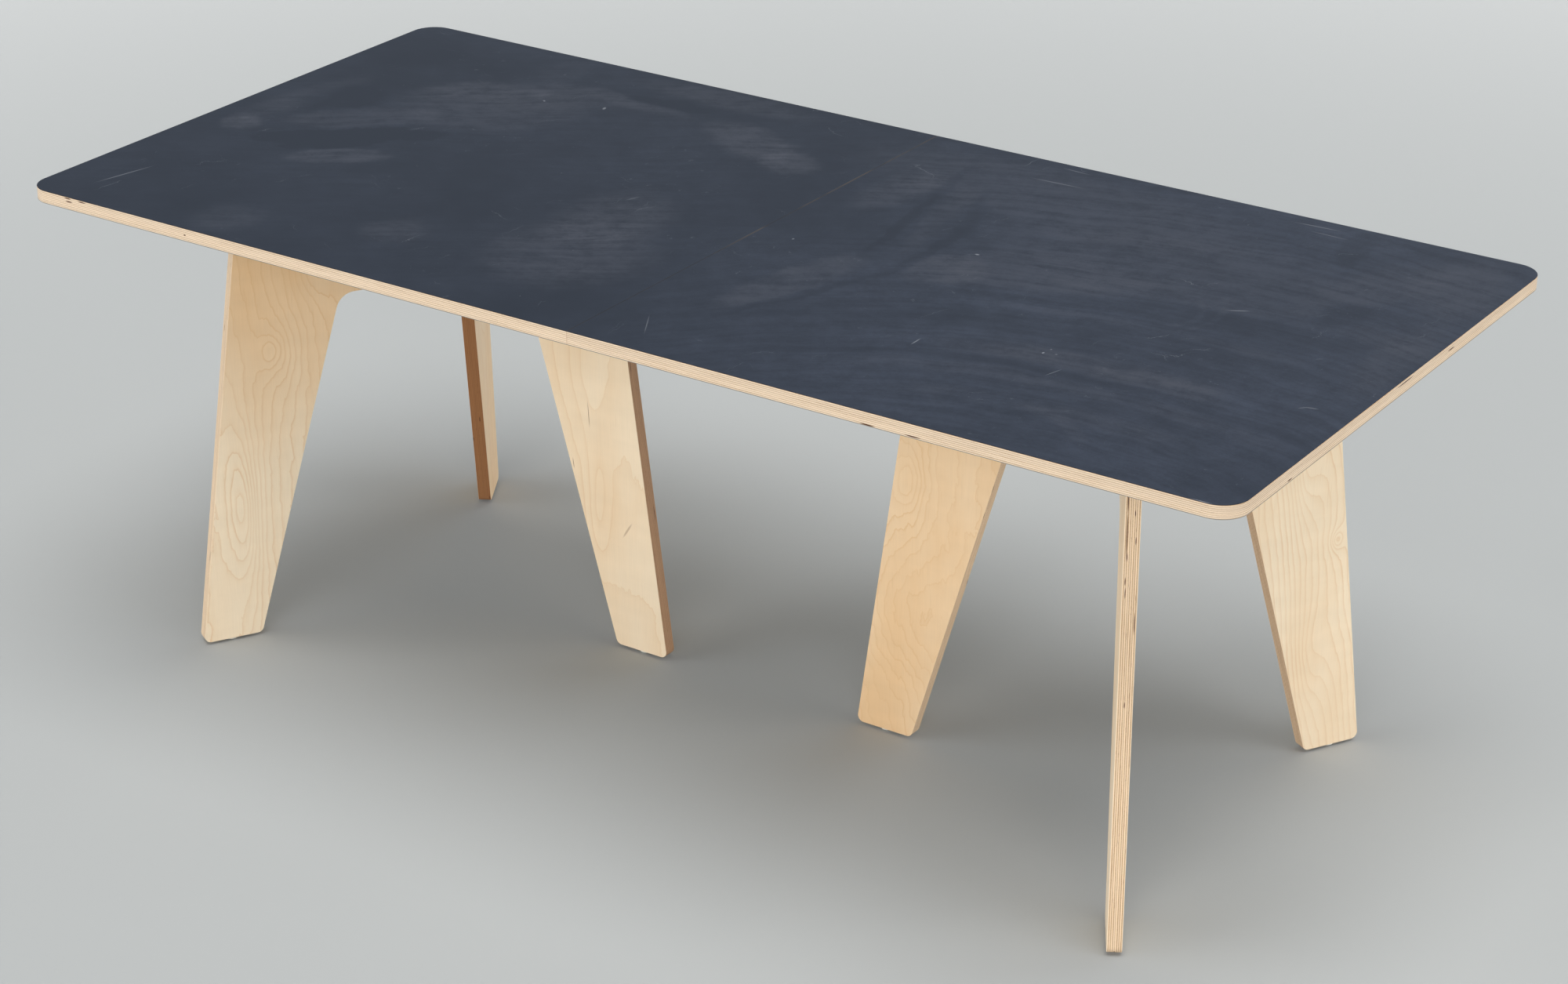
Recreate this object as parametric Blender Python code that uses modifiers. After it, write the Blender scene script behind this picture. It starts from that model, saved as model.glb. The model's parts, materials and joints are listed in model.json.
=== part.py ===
"""Meeting table: a two-piece plywood top on two bases of three plywood leg panels each.

Units are metres and Z is up. The origin lies on the floor under the middle of the seam,
X runs along the table and Y across it. The right half of the table is the left half
turned half a turn about Z, so each piece is shaped once, for the left half.

A leg's own frame has X outward from its base's upright axis, Z up and Y square to the
panel, and its origin on the floor.
"""

import math

import bmesh
import bpy
from mathutils import Matrix, Vector

# Gap that neighbouring pieces keep, and how far a cut runs past the face it opens
CLEARANCE = 0.0003
CUT_OVERRUN = 0.002

# Tabletop
TABLE_LENGTH = 2.000
TABLE_DEPTH = 0.950
TOP_CORNER_RADIUS = 0.040
CORE_THICKNESS = 0.018
CORE_EDGE_EASE = 0.0004
SHEET_THICKNESS = 0.0007
SHEET_EDGE_EASE = 0.0003

# Leg panels: radii are measured from the base's upright axis
BASE_OFFSET = 0.600
PANEL_THICKNESS = 0.021
PANEL_HEIGHT = 0.730
PANEL_EDGE_EASE = 0.0008
LEG_OUTER_RADIUS_AT_TOP = 0.325
LEG_INNER_RADIUS_AT_TOP = 0.120
FOOT_OUTER_RADIUS = 0.425
FOOT_WIDTH = 0.095
FOOT_CORNER_RADIUS = 0.010
RAIL_DEPTH = 0.185
RAIL_FILLET_RADIUS = 0.030

# Post that the three panels are housed in, measured across its flats
HUB_SIDES = 6
HUB_WIDTH = 0.056
HUB_EDGE_EASE = 0.002
HOUSING_DEPTH = 0.008

# Wood screws: the length comes from the boards that they bite into
SCREW_RADIUS = 0.002
SCREW_HEAD_RADIUS = 0.004
SCREW_HEAD_HEIGHT = 0.0025
SCREW_BITE_SHARE = 0.7
SCREW_POINT_SHARE = 0.25
SCREW_CROWN_RADIUS_SHARE = 0.6
SCREW_CROWN_HEIGHT_SHARE = 0.5

# Angle brackets that hold the leg panels to the top
BRACKET_THICKNESS = 0.0025
BRACKET_FLANGE = 0.035
BRACKET_LENGTH = 0.070
BRACKET_BEND_RADIUS = 0.002
BRACKET_PLACE = 0.230
BRACKET_HOLE_SPACING = 0.040

# Plates that link the two halves under the seam
LINK_PLATE_LENGTH = 0.120
LINK_PLATE_WIDTH = 0.040
LINK_PLATE_THICKNESS = 0.003
LINK_PLATE_CORNER_RADIUS = 0.005
LINK_PLATE_OFFSET = 0.300
LINK_HOLE_SHARES = (0.35, 0.80)

# Nail-on glides under the feet
GLIDE_RADIUS = 0.0095
GLIDE_HEIGHT = 0.004
GLIDE_RIM_RADIUS = 0.0014
GLIDE_FLAT_RADIUS = 0.003
GLIDE_NAIL_RADIUS = 0.0015
GLIDE_NAIL_LENGTH = 0.014

# Heights and radii that follow from the sizes above
PANEL_BOTTOM = GLIDE_HEIGHT + CLEARANCE
PANEL_TOP = PANEL_BOTTOM + PANEL_HEIGHT
BACKING_BOTTOM = PANEL_TOP + CLEARANCE
CORE_BOTTOM = BACKING_BOTTOM + SHEET_THICKNESS + CLEARANCE
SHEET_BOTTOM = CORE_BOTTOM + CORE_THICKNESS + CLEARANCE
RAIL_BOTTOM = PANEL_TOP - RAIL_DEPTH
FOOT_INNER_RADIUS = FOOT_OUTER_RADIUS - FOOT_WIDTH
FOOT_MIDDLE_RADIUS = FOOT_OUTER_RADIUS - FOOT_WIDTH / 2
PANEL_START = HUB_WIDTH / 2 - HOUSING_DEPTH + CLEARANCE
PANEL_FACE = PANEL_THICKNESS / 2
SCREW_BITE = SCREW_BITE_SHARE * min(CORE_THICKNESS, PANEL_THICKNESS)

# How finely round stretches are drawn
TOP_CORNER_STEPS = 12
SMALL_CORNER_STEPS = 5
FILLET_STEPS = 8
TURNED_STEPS = 16
DOME_STEPS = 4
RIM_STEPS = 4
SCREW_STEPS = 10
BORE_STEPS = 12
MERGE_DISTANCE = 0.00001
SHARP_ANGLE = math.radians(30)
EASED_ANGLE = math.radians(45)

# The three legs of the left base, by direction, and the names they have in each half
LEG_ANGLES = (math.radians(0), math.radians(120), math.radians(240))
HALVES = {
    "left": (0.0, ("inner", "back", "front")),
    "right": (math.pi, ("inner", "front", "back")),
}
THICKNESS_ALONG_Y = Matrix.Rotation(math.radians(90), 4, "X")
THICKNESS_ALONG_X = THICKNESS_ALONG_Y @ Matrix.Rotation(math.radians(90), 4, "Y")


def clear_scene():
    for old in list(bpy.data.objects):
        bpy.data.objects.remove(old, do_unlink=True)


def make_collection(name):
    collection = bpy.data.collections.new(name)
    bpy.context.scene.collection.children.link(collection)
    return collection


def make_material(name, colour, roughness, metallic=0.0):
    material = bpy.data.materials.new(name)
    material.use_nodes = True
    shader = material.node_tree.nodes["Principled BSDF"]
    shader.inputs["Base Color"].default_value = (*colour, 1.0)
    shader.inputs["Roughness"].default_value = roughness
    shader.inputs["Metallic"].default_value = metallic
    material.diffuse_color = (*colour, 1.0)
    return material


def rounded_outline(corners):
    """Points of a closed outline from (x, y, radius, steps) corners, in order round it."""
    points = []
    count = len(corners)
    for index, (x, y, radius, steps) in enumerate(corners):
        if radius == 0:
            points.append((x, y))
            continue
        before = corners[index - 1]
        after = corners[(index + 1) % count]
        to_before = math.atan2(before[1] - y, before[0] - x)
        to_after = math.atan2(after[1] - y, after[0] - x)
        opening = (to_after - to_before + math.pi) % math.tau - math.pi
        middle = to_before + opening / 2
        half = abs(opening) / 2
        centre_distance = radius / math.sin(half)
        centre_x = x + centre_distance * math.cos(middle)
        centre_y = y + centre_distance * math.sin(middle)
        sweep = math.copysign(math.pi - 2 * half, opening)
        for step in range(steps + 1):
            turn = middle + math.pi + sweep * (0.5 - step / steps)
            points.append((centre_x + radius * math.cos(turn), centre_y + radius * math.sin(turn)))
    return points


def mesh_of(shape, workshop):
    """The evaluated mesh of a working object, welded and with its faces outward."""
    bpy.context.view_layer.update()
    graph = bpy.context.evaluated_depsgraph_get()
    mesh = bpy.data.meshes.new_from_object(shape.evaluated_get(graph))
    mesh.transform(shape.matrix_world)
    body = bmesh.new()
    body.from_mesh(mesh)
    bmesh.ops.remove_doubles(body, verts=body.verts, dist=MERGE_DISTANCE)
    bmesh.ops.recalc_face_normals(body, faces=body.faces)
    body.to_mesh(mesh)
    body.free()
    for helper in list(workshop.objects):
        bpy.data.objects.remove(helper, do_unlink=True)
    return mesh


def flat_plate(workshop, outline, thickness, turn=Matrix.Identity(4)):
    """A flat outline given thickness, centred on its plane, then turned."""
    curve = bpy.data.curves.new("outline", "CURVE")
    curve.dimensions = "2D"
    curve.fill_mode = "BOTH"
    curve.extrude = thickness / 2
    spline = curve.splines.new("POLY")
    spline.points.add(len(outline) - 1)
    for point, (x, y) in zip(spline.points, outline):
        point.co = (x, y, 0, 1)
    spline.use_cyclic_u = True
    shape = bpy.data.objects.new("outline", curve)
    workshop.objects.link(shape)
    shape.matrix_world = turn
    return mesh_of(shape, workshop)


def turned_piece(workshop, profile, steps):
    """A (radius, height) profile, listed top to bottom, turned about Z."""
    mesh = bpy.data.meshes.new("profile")
    points = [(radius, 0, height) for radius, height in profile]
    edges = [(index, index + 1) for index in range(len(points) - 1)]
    mesh.from_pydata(points, edges, [])
    shape = bpy.data.objects.new("turned", mesh)
    workshop.objects.link(shape)
    screw = shape.modifiers.new("turn", "SCREW")
    screw.axis = "Z"
    screw.steps = steps
    screw.render_steps = steps
    screw.use_merge_vertices = True
    screw.merge_threshold = MERGE_DISTANCE
    return mesh_of(shape, workshop)


def round_bar(radius, start, end, steps):
    """A cylinder along Z between two heights."""
    bar = bmesh.new()
    middle = Matrix.Translation((0, 0, (start + end) / 2))
    bmesh.ops.create_cone(bar, cap_ends=True, segments=steps, radius1=radius,
                          radius2=radius, depth=end - start, matrix=middle)
    mesh = bpy.data.meshes.new("bar")
    bar.to_mesh(mesh)
    bar.free()
    return mesh


def gathered(placed):
    """One mesh of separate bodies, from (mesh, matrix) pairs."""
    body = bmesh.new()
    for mesh, place in placed:
        copy = mesh.copy()
        copy.transform(place)
        body.from_mesh(copy)
        bpy.data.meshes.remove(copy)
    mesh = bpy.data.meshes.new("gathered")
    body.to_mesh(mesh)
    body.free()
    return mesh


def eased(workshop, mesh, width):
    """The mesh with its sharp edges broken."""
    shape = bpy.data.objects.new("eased", mesh)
    workshop.objects.link(shape)
    bevel = shape.modifiers.new("ease", "BEVEL")
    bevel.width = width
    bevel.segments = 1
    bevel.limit_method = "ANGLE"
    bevel.angle_limit = EASED_ANGLE
    return mesh_of(shape, workshop)


def bored(workshop, mesh, cutters):
    """The mesh with each cutter mesh taken out of it in turn."""
    shape = bpy.data.objects.new("bored", mesh)
    workshop.objects.link(shape)
    for cutter_mesh in cutters:
        cutter = bpy.data.objects.new("cutter", cutter_mesh)
        cutter.hide_render = True
        cutter.display_type = "WIRE"
        workshop.objects.link(cutter)
        cut = shape.modifiers.new("bore", "BOOLEAN")
        cut.operation = "DIFFERENCE"
        cut.solver = "EXACT"
        cut.object = cutter
    return mesh_of(shape, workshop)


def at(x=0, y=0, z=0):
    return Matrix.Translation((x, y, z))


def leg_place(leg):
    """From a leg's frame to the left half's frame."""
    return at(x=-BASE_OFFSET) @ Matrix.Rotation(LEG_ANGLES[leg], 4, "Z")


def bracket_screw_places():
    """Leg-frame places of a bracket's screws by name, at the seat under each head."""
    flange_middle = (BRACKET_FLANGE + BRACKET_THICKNESS) / 2
    face = PANEL_FACE + CLEARANCE
    up_seat = PANEL_TOP - BRACKET_THICKNESS - CLEARANCE
    side_seat = face + BRACKET_THICKNESS + CLEARANCE
    inward = Matrix.Rotation(math.radians(90), 4, "X")
    half_spacing = BRACKET_HOLE_SPACING / 2
    return {
        "top_1": at(BRACKET_PLACE - half_spacing, face + flange_middle, up_seat),
        "top_2": at(BRACKET_PLACE + half_spacing, face + flange_middle, up_seat),
        "side": at(BRACKET_PLACE, side_seat, PANEL_TOP - flange_middle) @ inward,
    }


def link_screw_places():
    """Places of one link plate's four screws, at the seat under each head."""
    seat = BACKING_BOTTOM - CLEARANCE - LINK_PLATE_THICKNESS - CLEARANCE
    half_length = LINK_PLATE_LENGTH / 2
    return [at(x=side * share * half_length, z=seat) for side in (-1, 1) for share in LINK_HOLE_SHARES]


def screw_reach(plate_thickness):
    """Length under the head of a screw that holds a plate to a board."""
    return CLEARANCE + plate_thickness + CLEARANCE + SCREW_BITE


def half_top_outline():
    """The left half of the top: square at the seam, rounded at its outer corners."""
    outer_x = -TABLE_LENGTH / 2
    seam_x = -CLEARANCE / 2
    side_y = TABLE_DEPTH / 2
    return rounded_outline([
        (outer_x, -side_y, TOP_CORNER_RADIUS, TOP_CORNER_STEPS),
        (seam_x, -side_y, 0, 0),
        (seam_x, side_y, 0, 0),
        (outer_x, side_y, TOP_CORNER_RADIUS, TOP_CORNER_STEPS),
    ])


def make_board(workshop, bottom, thickness, ease):
    """A board in the shape of half the top."""
    middle = at(z=bottom + thickness / 2)
    return eased(workshop, flat_plate(workshop, half_top_outline(), thickness, middle), ease)


def top_bores(start, end):
    """Bores for the screws that come up into the left half of the top."""
    bore = round_bar(SCREW_RADIUS + CLEARANCE, start, end, BORE_STEPS)
    spots = []
    for leg in range(len(LEG_ANGLES)):
        for name, place in bracket_screw_places().items():
            if name != "side":
                spots.append((leg_place(leg) @ place).translation)
    for place in link_screw_places():
        if place.translation.x < 0:
            spots.append(place.translation + Vector((0, -LINK_PLATE_OFFSET, 0)))
            spots.append(place.translation + Vector((0, LINK_PLATE_OFFSET, 0)))
    return gathered([(bore, at(spot.x, spot.y)) for spot in spots])


def make_core(workshop):
    board = make_board(workshop, CORE_BOTTOM, CORE_THICKNESS, CORE_EDGE_EASE)
    bore_end = BACKING_BOTTOM + SCREW_BITE + CLEARANCE
    return bored(workshop, board, [top_bores(CORE_BOTTOM - CUT_OVERRUN, bore_end)])


def make_backing(workshop):
    board = make_board(workshop, BACKING_BOTTOM, SHEET_THICKNESS, SHEET_EDGE_EASE)
    start = BACKING_BOTTOM - CUT_OVERRUN
    end = BACKING_BOTTOM + SHEET_THICKNESS + CUT_OVERRUN
    return bored(workshop, board, [top_bores(start, end)])


def make_top_sheet(workshop):
    return make_board(workshop, SHEET_BOTTOM, SHEET_THICKNESS, SHEET_EDGE_EASE)


def panel_outline():
    """Rail and tapered leg in one outline: X outward, Y up."""
    taper = (FOOT_INNER_RADIUS - LEG_INNER_RADIUS_AT_TOP) / PANEL_HEIGHT
    inner_at_rail = LEG_INNER_RADIUS_AT_TOP + taper * RAIL_DEPTH
    return rounded_outline([
        (PANEL_START, PANEL_TOP, 0, 0),
        (PANEL_START, RAIL_BOTTOM, 0, 0),
        (inner_at_rail, RAIL_BOTTOM, RAIL_FILLET_RADIUS, FILLET_STEPS),
        (FOOT_INNER_RADIUS, PANEL_BOTTOM, FOOT_CORNER_RADIUS, SMALL_CORNER_STEPS),
        (FOOT_OUTER_RADIUS, PANEL_BOTTOM, FOOT_CORNER_RADIUS, SMALL_CORNER_STEPS),
        (LEG_OUTER_RADIUS_AT_TOP, PANEL_TOP, 0, 0),
    ])


def make_panel(workshop):
    """A leg panel with the bores for its bracket's screw and its glide's nail."""
    panel = flat_plate(workshop, panel_outline(), PANEL_THICKNESS, THICKNESS_ALONG_Y)
    panel = eased(workshop, panel, PANEL_EDGE_EASE)
    screw_bore = round_bar(SCREW_RADIUS + CLEARANCE, 0,
                           screw_reach(BRACKET_THICKNESS) + CLEARANCE, BORE_STEPS)
    screw_bore.transform(bracket_screw_places()["side"])
    nail_bore = round_bar(GLIDE_NAIL_RADIUS + CLEARANCE, PANEL_BOTTOM - CUT_OVERRUN,
                          GLIDE_HEIGHT + GLIDE_NAIL_LENGTH + CLEARANCE, BORE_STEPS)
    nail_bore.transform(at(x=FOOT_MIDDLE_RADIUS))
    return bored(workshop, panel, [screw_bore, nail_bore])


def make_hub(workshop):
    """Six-sided post with a groove from top to bottom for the end of each panel."""
    corner_radius = HUB_WIDTH / 2 / math.cos(math.pi / HUB_SIDES)
    post = round_bar(corner_radius, RAIL_BOTTOM, PANEL_TOP, HUB_SIDES)
    post = eased(workshop, post, HUB_EDGE_EASE)
    half_groove = PANEL_FACE + CLEARANCE
    bottom = HUB_WIDTH / 2 - HOUSING_DEPTH
    mouth = HUB_WIDTH / 2 + CUT_OVERRUN
    groove_outline = [(bottom, -half_groove), (mouth, -half_groove),
                      (mouth, half_groove), (bottom, half_groove)]
    middle = at(z=(RAIL_BOTTOM + PANEL_TOP) / 2)
    groove = flat_plate(workshop, groove_outline, RAIL_DEPTH + 2 * CUT_OVERRUN, middle)
    grooves = gathered([(groove, Matrix.Rotation(angle, 4, "Z")) for angle in LEG_ANGLES])
    hub = bored(workshop, post, [grooves])
    hub.transform(at(x=-BASE_OFFSET))
    return hub


def make_bracket(workshop):
    """An angle bracket in a leg's frame: one flange on the panel, one under the top."""
    face = PANEL_FACE + CLEARANCE
    outer = face + BRACKET_FLANGE
    lower = PANEL_TOP - BRACKET_FLANGE
    inner_face = face + BRACKET_THICKNESS
    inner_top = PANEL_TOP - BRACKET_THICKNESS
    outline = rounded_outline([
        (face, PANEL_TOP, BRACKET_BEND_RADIUS + BRACKET_THICKNESS, SMALL_CORNER_STEPS),
        (face, lower, 0, 0),
        (inner_face, lower, 0, 0),
        (inner_face, inner_top, BRACKET_BEND_RADIUS, SMALL_CORNER_STEPS),
        (outer, inner_top, 0, 0),
        (outer, PANEL_TOP, 0, 0),
    ])
    angle = flat_plate(workshop, outline, BRACKET_LENGTH, THICKNESS_ALONG_X)
    angle.transform(at(x=BRACKET_PLACE))
    reach = CLEARANCE + BRACKET_THICKNESS + CUT_OVERRUN
    bore = round_bar(SCREW_RADIUS + CLEARANCE, -CUT_OVERRUN, reach, BORE_STEPS)
    bores = gathered([(bore, place) for place in bracket_screw_places().values()])
    return bored(workshop, angle, [bores])


def make_screw(workshop, plate_thickness):
    """A round-headed wood screw that points up, with the seat of its head at height zero."""
    reach = screw_reach(plate_thickness)
    point = SCREW_POINT_SHARE * SCREW_BITE
    crown_radius = SCREW_HEAD_RADIUS * SCREW_CROWN_RADIUS_SHARE
    crown_side = SCREW_HEAD_HEIGHT * SCREW_CROWN_HEIGHT_SHARE
    profile = [(0, reach), (SCREW_RADIUS, reach - point), (SCREW_RADIUS, 0), (SCREW_HEAD_RADIUS, 0),
               (SCREW_HEAD_RADIUS, -crown_side), (crown_radius, -SCREW_HEAD_HEIGHT),
               (0, -SCREW_HEAD_HEIGHT)]
    return turned_piece(workshop, profile, SCREW_STEPS)


def make_link_plate(workshop):
    """A flat steel plate across the seam, drawn at the middle of the table's depth."""
    half_length = LINK_PLATE_LENGTH / 2
    half_width = LINK_PLATE_WIDTH / 2
    corner = (LINK_PLATE_CORNER_RADIUS, SMALL_CORNER_STEPS)
    outline = rounded_outline([
        (-half_length, -half_width, *corner),
        (half_length, -half_width, *corner),
        (half_length, half_width, *corner),
        (-half_length, half_width, *corner),
    ])
    top = BACKING_BOTTOM - CLEARANCE
    plate = flat_plate(workshop, outline, LINK_PLATE_THICKNESS, at(z=top - LINK_PLATE_THICKNESS / 2))
    bore = round_bar(SCREW_RADIUS + CLEARANCE, -CUT_OVERRUN,
                     LINK_PLATE_THICKNESS + CUT_OVERRUN, BORE_STEPS)
    bores = gathered([(bore, place) for place in link_screw_places()])
    return bored(workshop, plate, [bores])


def make_glide(workshop):
    """A domed glide with a rolled rim, a small flat to stand on and a nail up into the foot."""
    rim_start = GLIDE_RADIUS - GLIDE_RIM_RADIUS
    dome_height = GLIDE_HEIGHT - GLIDE_RIM_RADIUS
    rim = []
    for step in range(RIM_STEPS):
        turn = math.pi / 2 * step / RIM_STEPS
        rim.append((rim_start + GLIDE_RIM_RADIUS * math.sin(turn),
                    dome_height + GLIDE_RIM_RADIUS * math.cos(turn)))
    dome = []
    for step in range(DOME_STEPS + 1):
        turn = math.pi / 2 * step / DOME_STEPS
        radius = GLIDE_FLAT_RADIUS + (GLIDE_RADIUS - GLIDE_FLAT_RADIUS) * math.cos(turn)
        dome.append((radius, dome_height * (1 - math.sin(turn))))
    nail_top = GLIDE_HEIGHT + GLIDE_NAIL_LENGTH
    profile = [(0, nail_top), (GLIDE_NAIL_RADIUS, nail_top - 2 * GLIDE_NAIL_RADIUS),
               (GLIDE_NAIL_RADIUS, GLIDE_HEIGHT), *rim, *dome, (0, 0)]
    glide = turned_piece(workshop, profile, TURNED_STEPS)
    glide.transform(at(x=FOOT_MIDDLE_RADIUS))
    return glide


def add_piece(name, mesh, material, collection, parent=None, place=Matrix.Identity(4)):
    """A named piece of the table, with its own copy of the mesh."""
    piece = bpy.data.objects.new(name, mesh.copy())
    piece.data.name = name
    piece.data.materials.clear()
    piece.data.materials.append(material)
    piece.data.shade_smooth()
    piece.data.set_sharp_from_angle(angle=SHARP_ANGLE)
    collection.objects.link(piece)
    piece.parent = parent
    piece.matrix_local = place
    return piece


def build_table():
    clear_scene()
    table = make_collection("meeting_table")
    workshop = make_collection("workshop")

    plywood = make_material("birch_plywood", (0.76, 0.60, 0.40), 0.55)
    laminate = make_material("dark_laminate", (0.055, 0.062, 0.078), 0.45)
    backing_sheet = make_material("grey_backing", (0.22, 0.22, 0.22), 0.60)
    birch = make_material("solid_birch", (0.72, 0.55, 0.36), 0.55)
    zinc = make_material("zinc_plated_steel", (0.60, 0.61, 0.62), 0.35, 1.0)
    nickel = make_material("nickel_plated_steel", (0.72, 0.70, 0.66), 0.18, 1.0)

    half_pieces = {
        "top_core": (make_core(workshop), plywood),
        "top_sheet": (make_top_sheet(workshop), laminate),
        "backing": (make_backing(workshop), backing_sheet),
        "hub": (make_hub(workshop), birch),
    }
    leg_pieces = {
        "leg_panel": (make_panel(workshop), plywood),
        "bracket": (make_bracket(workshop), zinc),
        "glide": (make_glide(workshop), nickel),
    }
    bracket_screw = make_screw(workshop, BRACKET_THICKNESS)
    link_plate = make_link_plate(workshop)
    link_screw = make_screw(workshop, LINK_PLATE_THICKNESS)

    for side, (turn, leg_names) in HALVES.items():
        half = bpy.data.objects.new("half_" + side, None)
        half.rotation_euler.z = turn
        table.objects.link(half)
        for kind, (mesh, material) in half_pieces.items():
            add_piece(kind + "_" + side, mesh, material, table, half)
        for leg, leg_name in enumerate(leg_names):
            tail = "_" + side + "_" + leg_name
            for kind, (mesh, material) in leg_pieces.items():
                add_piece(kind + tail, mesh, material, table, half, leg_place(leg))
            for name, place in bracket_screw_places().items():
                screw_name = "bracket_screw" + tail + "_" + name
                add_piece(screw_name, bracket_screw, zinc, table, half, leg_place(leg) @ place)

    for end, y in (("front", -LINK_PLATE_OFFSET), ("back", LINK_PLATE_OFFSET)):
        add_piece("link_plate_" + end, link_plate, zinc, table, place=at(y=y))
        for number, place in enumerate(link_screw_places(), start=1):
            screw_name = "link_screw_" + end + "_" + str(number)
            add_piece(screw_name, link_screw, zinc, table, place=at(y=y) @ place)

    bpy.data.collections.remove(workshop)
    bpy.context.view_layer.update()


build_table()
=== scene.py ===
"""Looks of the plywood meeting table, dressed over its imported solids.

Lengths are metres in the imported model's frame: X along the table, Y across it, Z up, and
the origin on the floor under the middle of the seam. Colours are written as the hex values
that they should show under the studio light.
"""

import json
import math

import bpy
from mathutils import Matrix, Vector

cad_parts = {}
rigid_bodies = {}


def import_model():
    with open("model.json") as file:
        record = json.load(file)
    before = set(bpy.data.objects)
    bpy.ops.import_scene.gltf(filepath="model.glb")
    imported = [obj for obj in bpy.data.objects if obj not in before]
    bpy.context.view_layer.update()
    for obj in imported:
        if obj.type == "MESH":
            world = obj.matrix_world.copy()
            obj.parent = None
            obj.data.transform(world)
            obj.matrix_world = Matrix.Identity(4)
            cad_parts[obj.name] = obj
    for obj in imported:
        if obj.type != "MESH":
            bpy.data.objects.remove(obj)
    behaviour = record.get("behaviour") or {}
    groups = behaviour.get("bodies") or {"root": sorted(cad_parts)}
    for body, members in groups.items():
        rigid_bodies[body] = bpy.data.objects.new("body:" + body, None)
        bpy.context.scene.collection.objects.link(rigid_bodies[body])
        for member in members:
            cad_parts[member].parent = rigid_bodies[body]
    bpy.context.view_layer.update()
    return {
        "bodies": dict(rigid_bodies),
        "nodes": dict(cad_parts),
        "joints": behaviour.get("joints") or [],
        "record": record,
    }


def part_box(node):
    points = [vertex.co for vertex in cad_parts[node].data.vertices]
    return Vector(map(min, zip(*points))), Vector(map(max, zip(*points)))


# Camera, as solved from the photograph's edges. The lens and the sensor are in millimetres.
CAMERA_PLACE = (2.6844, -3.9824, 2.5817)
CAMERA_HEADING = math.radians(123.636)
CAMERA_PITCH = math.radians(25.093)
CAMERA_ROLL = math.radians(0.205)
CAMERA_LENS = 81.696
SENSOR_WIDTH = 36.0
CAMERA_CLIP = (0.1, 200.0)

# The floor's half side, and its near and far tones. It turns from one to the other between
# two distances from the origin.
FLOOR_HALF_SIDE = 30.0
FLOOR_TONES = ("b1b4b4", "cdcfcf")
FLOOR_REACH = (2.0, 6.0)

# A dim white dome lights the table, and a pale backdrop is what the camera and gloss see
DOME_STRENGTH = 0.17
BACKDROP = "e3e7e7"

# Wide soft lamps: their name and strength, and their spread, azimuth and elevation in degrees
LAMPS = (
    ("key", 2.25, 50.0, 330.0, 80.0),
    ("fill_front", 1.80, 50.0, 298.0, 8.0),
    ("fill_right", 1.05, 50.0, 8.0, 12.0),
    ("fill_back", 1.15, 60.0, 75.0, 8.0),
    ("fill_left", 1.90, 55.0, 222.0, 8.0),
)

# The table's own sizes that the materials line up with
BASE_OFFSET = 0.600
FOOT_RADIUS = 0.425
PANEL_THICKNESS = 0.021
PANEL_PLIES = 15
CORE_THICKNESS = 0.018
CORE_PLIES = 13

# Shares of a ply: how far plies wave, how near to a face they are still read, how wide a
# glue line and a broken line fade out, and how far in from them pits fade in
PLY_WAVE = 0.35
PLY_MARGIN = 0.3
GLUE_FADE = (0.12, 0.03)
DASH_FADE = (0.20, 0.08)
PIT_FADE = (0.12, 0.25)

# How fine the fibres are, square to the grain and along it, in features per metre
FIBRES_SQUARE = 900.0
FIBRES_ALONG = 22.0

# Growth rings: how far their lines reach on the sharp side and on the soft side, the step
# that their steepness is read over, and the least steepness, in rings over that step. Then
# how fine their waves and their wiggle are across and along the panel.
RING_WIDTH = (0.0010, 0.0034)
RING_STEP = 0.0005
RING_STEEPNESS = 0.0005
RING_WAVES = (7.0, 2.4, 1.0)
RING_WIGGLE = (42.0, 16.0, 1.0)

# Pits in a cut edge are half this thick on the legs and on the tops, and on the legs they
# reach this far into the panel
LEG_PIT_HALF = 0.0006
CORE_PIT_HALF = 0.0009
PIT_REACH = 0.012

# A board's seed is its number times a step. Leg panels are numbered from the first of two
# numbers and cores from the second. Each pattern in a board adds its own part to the seed.
SEED_STEP = 10.0
FIRST_LEG, FIRST_CORE = 1, 8
SEEDS = dict(ring=0.5, drift=2.0, fade=3.0, curl=5.0, fleck=7.0, pit=11.0, dash=13.0)

# Birch: the veneer's palest and warmest tone, between growth rings and on their lines, then
# flecks, cracks, the tone that evens plies out and the tint of painted shade that browns them,
# and last glue lines, the broken lines between plies and the painted shade in open pits. The
# veneer turns more tan between two heights, partly its own tone and partly painted shade
# under the tabletop, and a relief is a strength and a depth.
VENEER_PALE = "f4e1c4"
VENEER_WARM = "e5b880"
RING_BAND = "dfb888"
RING_LINE = "d9a96f"
FLECK = "cda77a"
CRACK = "7d4d2a"
EVEN_PLIES = "e9d0b0"
EDGE_SHADE_TINT = "a67d57"
GLUE_LINE = "80583a"
DASH = "6a3f22"
PIT_SHADE = "451c06"
SHADE_HEIGHTS = (0.15, 0.70)
WOOD_SPECULAR = 0.35
WOOD_RELIEF = (0.3, 0.0004)

# Bare edges: the tone of plies cut along their grain, and the palest and the darkest tone of
# plies cut across it. A dash is how dark the broken lines between plies are.
LEG_EDGES = ("f3d9b9", "ccaa80", "b08a62")
CORE_EDGES = ("e8d4bb", "d3b896", "ba9d80")
LEG_DASH = 0.75
CORE_DASH = 0.35
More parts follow.
